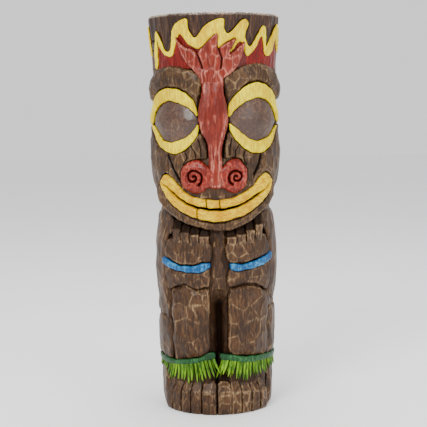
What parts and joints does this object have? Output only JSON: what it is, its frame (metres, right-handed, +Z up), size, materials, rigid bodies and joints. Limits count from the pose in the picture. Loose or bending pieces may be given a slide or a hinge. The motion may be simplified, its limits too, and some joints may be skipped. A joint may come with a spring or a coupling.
{
  "type": "tiki figure",
  "caption": "Upright carved log figure with a round-eyed smiling face under a flame-painted crown, crouching with raised knees and hands under the chin, banded wrists and ankles.",
  "frame": {"origin": "centre of the overall box at the level of the flat base", "axes": "+Z up along the log, the face looks along -Y, the figure's own left hand is at +X"},
  "size_m": [0.1775, 0.185, 0.52],
  "materials": {
    "back_wood": "painted, satin, dry-brushed",
    "body_wood": "painted, satin, dry-brushed",
    "crown_wood": "painted, satin, dry-brushed",
    "flame_yellow": "painted, satin, dry-brushed",
    "crown_red": "painted, satin, dry-brushed",
    "nose_rose": "painted, satin, dry-brushed",
    "scroll_red": "painted, satin, dry-brushed",
    "lip_yellow": "painted, satin, dry-brushed",
    "lid_yellow": "painted, satin, dry-brushed",
    "band_blue": "painted, satin, dry-brushed",
    "band_green": "painted, satin, dry-brushed",
    "grass_green": "painted, satin, dry-brushed",
    "eye_wood": "painted, satin, dry-brushed",
    "face_wood": "painted, satin, dry-brushed",
    "limb_wood": "painted, satin, dry-brushed"
  },
  "bodies": {
    "root": {"torso_core": "body_wood", "belly": "limb_wood", "arm_left": "limb_wood", "arm_right": "limb_wood", "forearm_left": "limb_wood", "forearm_right": "limb_wood", "wrist_band_left": "band_blue", "wrist_band_right": "band_blue", "hand_left": "limb_wood", "hand_right": "limb_wood", "fingers_left": "limb_wood", "fingers_right": "limb_wood", "shin_left": "limb_wood", "shin_right": "limb_wood", "haunch_left": "limb_wood", "haunch_right": "limb_wood", "anklet_band_left": "band_green", "anklet_band_right": "band_green", "grass_fringe_left": "grass_green", "grass_fringe_right": "grass_green", "foot_left": "limb_wood", "foot_right": "limb_wood", "toes_left": "limb_wood", "toes_right": "limb_wood", "head_core": "back_wood", "jaw": "face_wood", "upper_lip": "lip_yellow", "lower_lip": "lip_yellow", "cheek_left": "face_wood", "cheek_right": "face_wood", "lower_lid_left": "lid_yellow", "lower_lid_right": "lid_yellow", "eyeball_left": "eye_wood", "eyeball_right": "eye_wood", "upper_lid_left": "lid_yellow", "upper_lid_right": "lid_yellow", "brow_left": "face_wood", "brow_right": "face_wood", "nose_bridge": "nose_rose", "nostril_scroll_left": "scroll_red", "nostril_scroll_right": "scroll_red", "crown_drum": "crown_wood", "flame_border": "flame_yellow", "flame_field": "crown_red", "nose_plume": "nose_rose"}
  },
  "joints": []
}
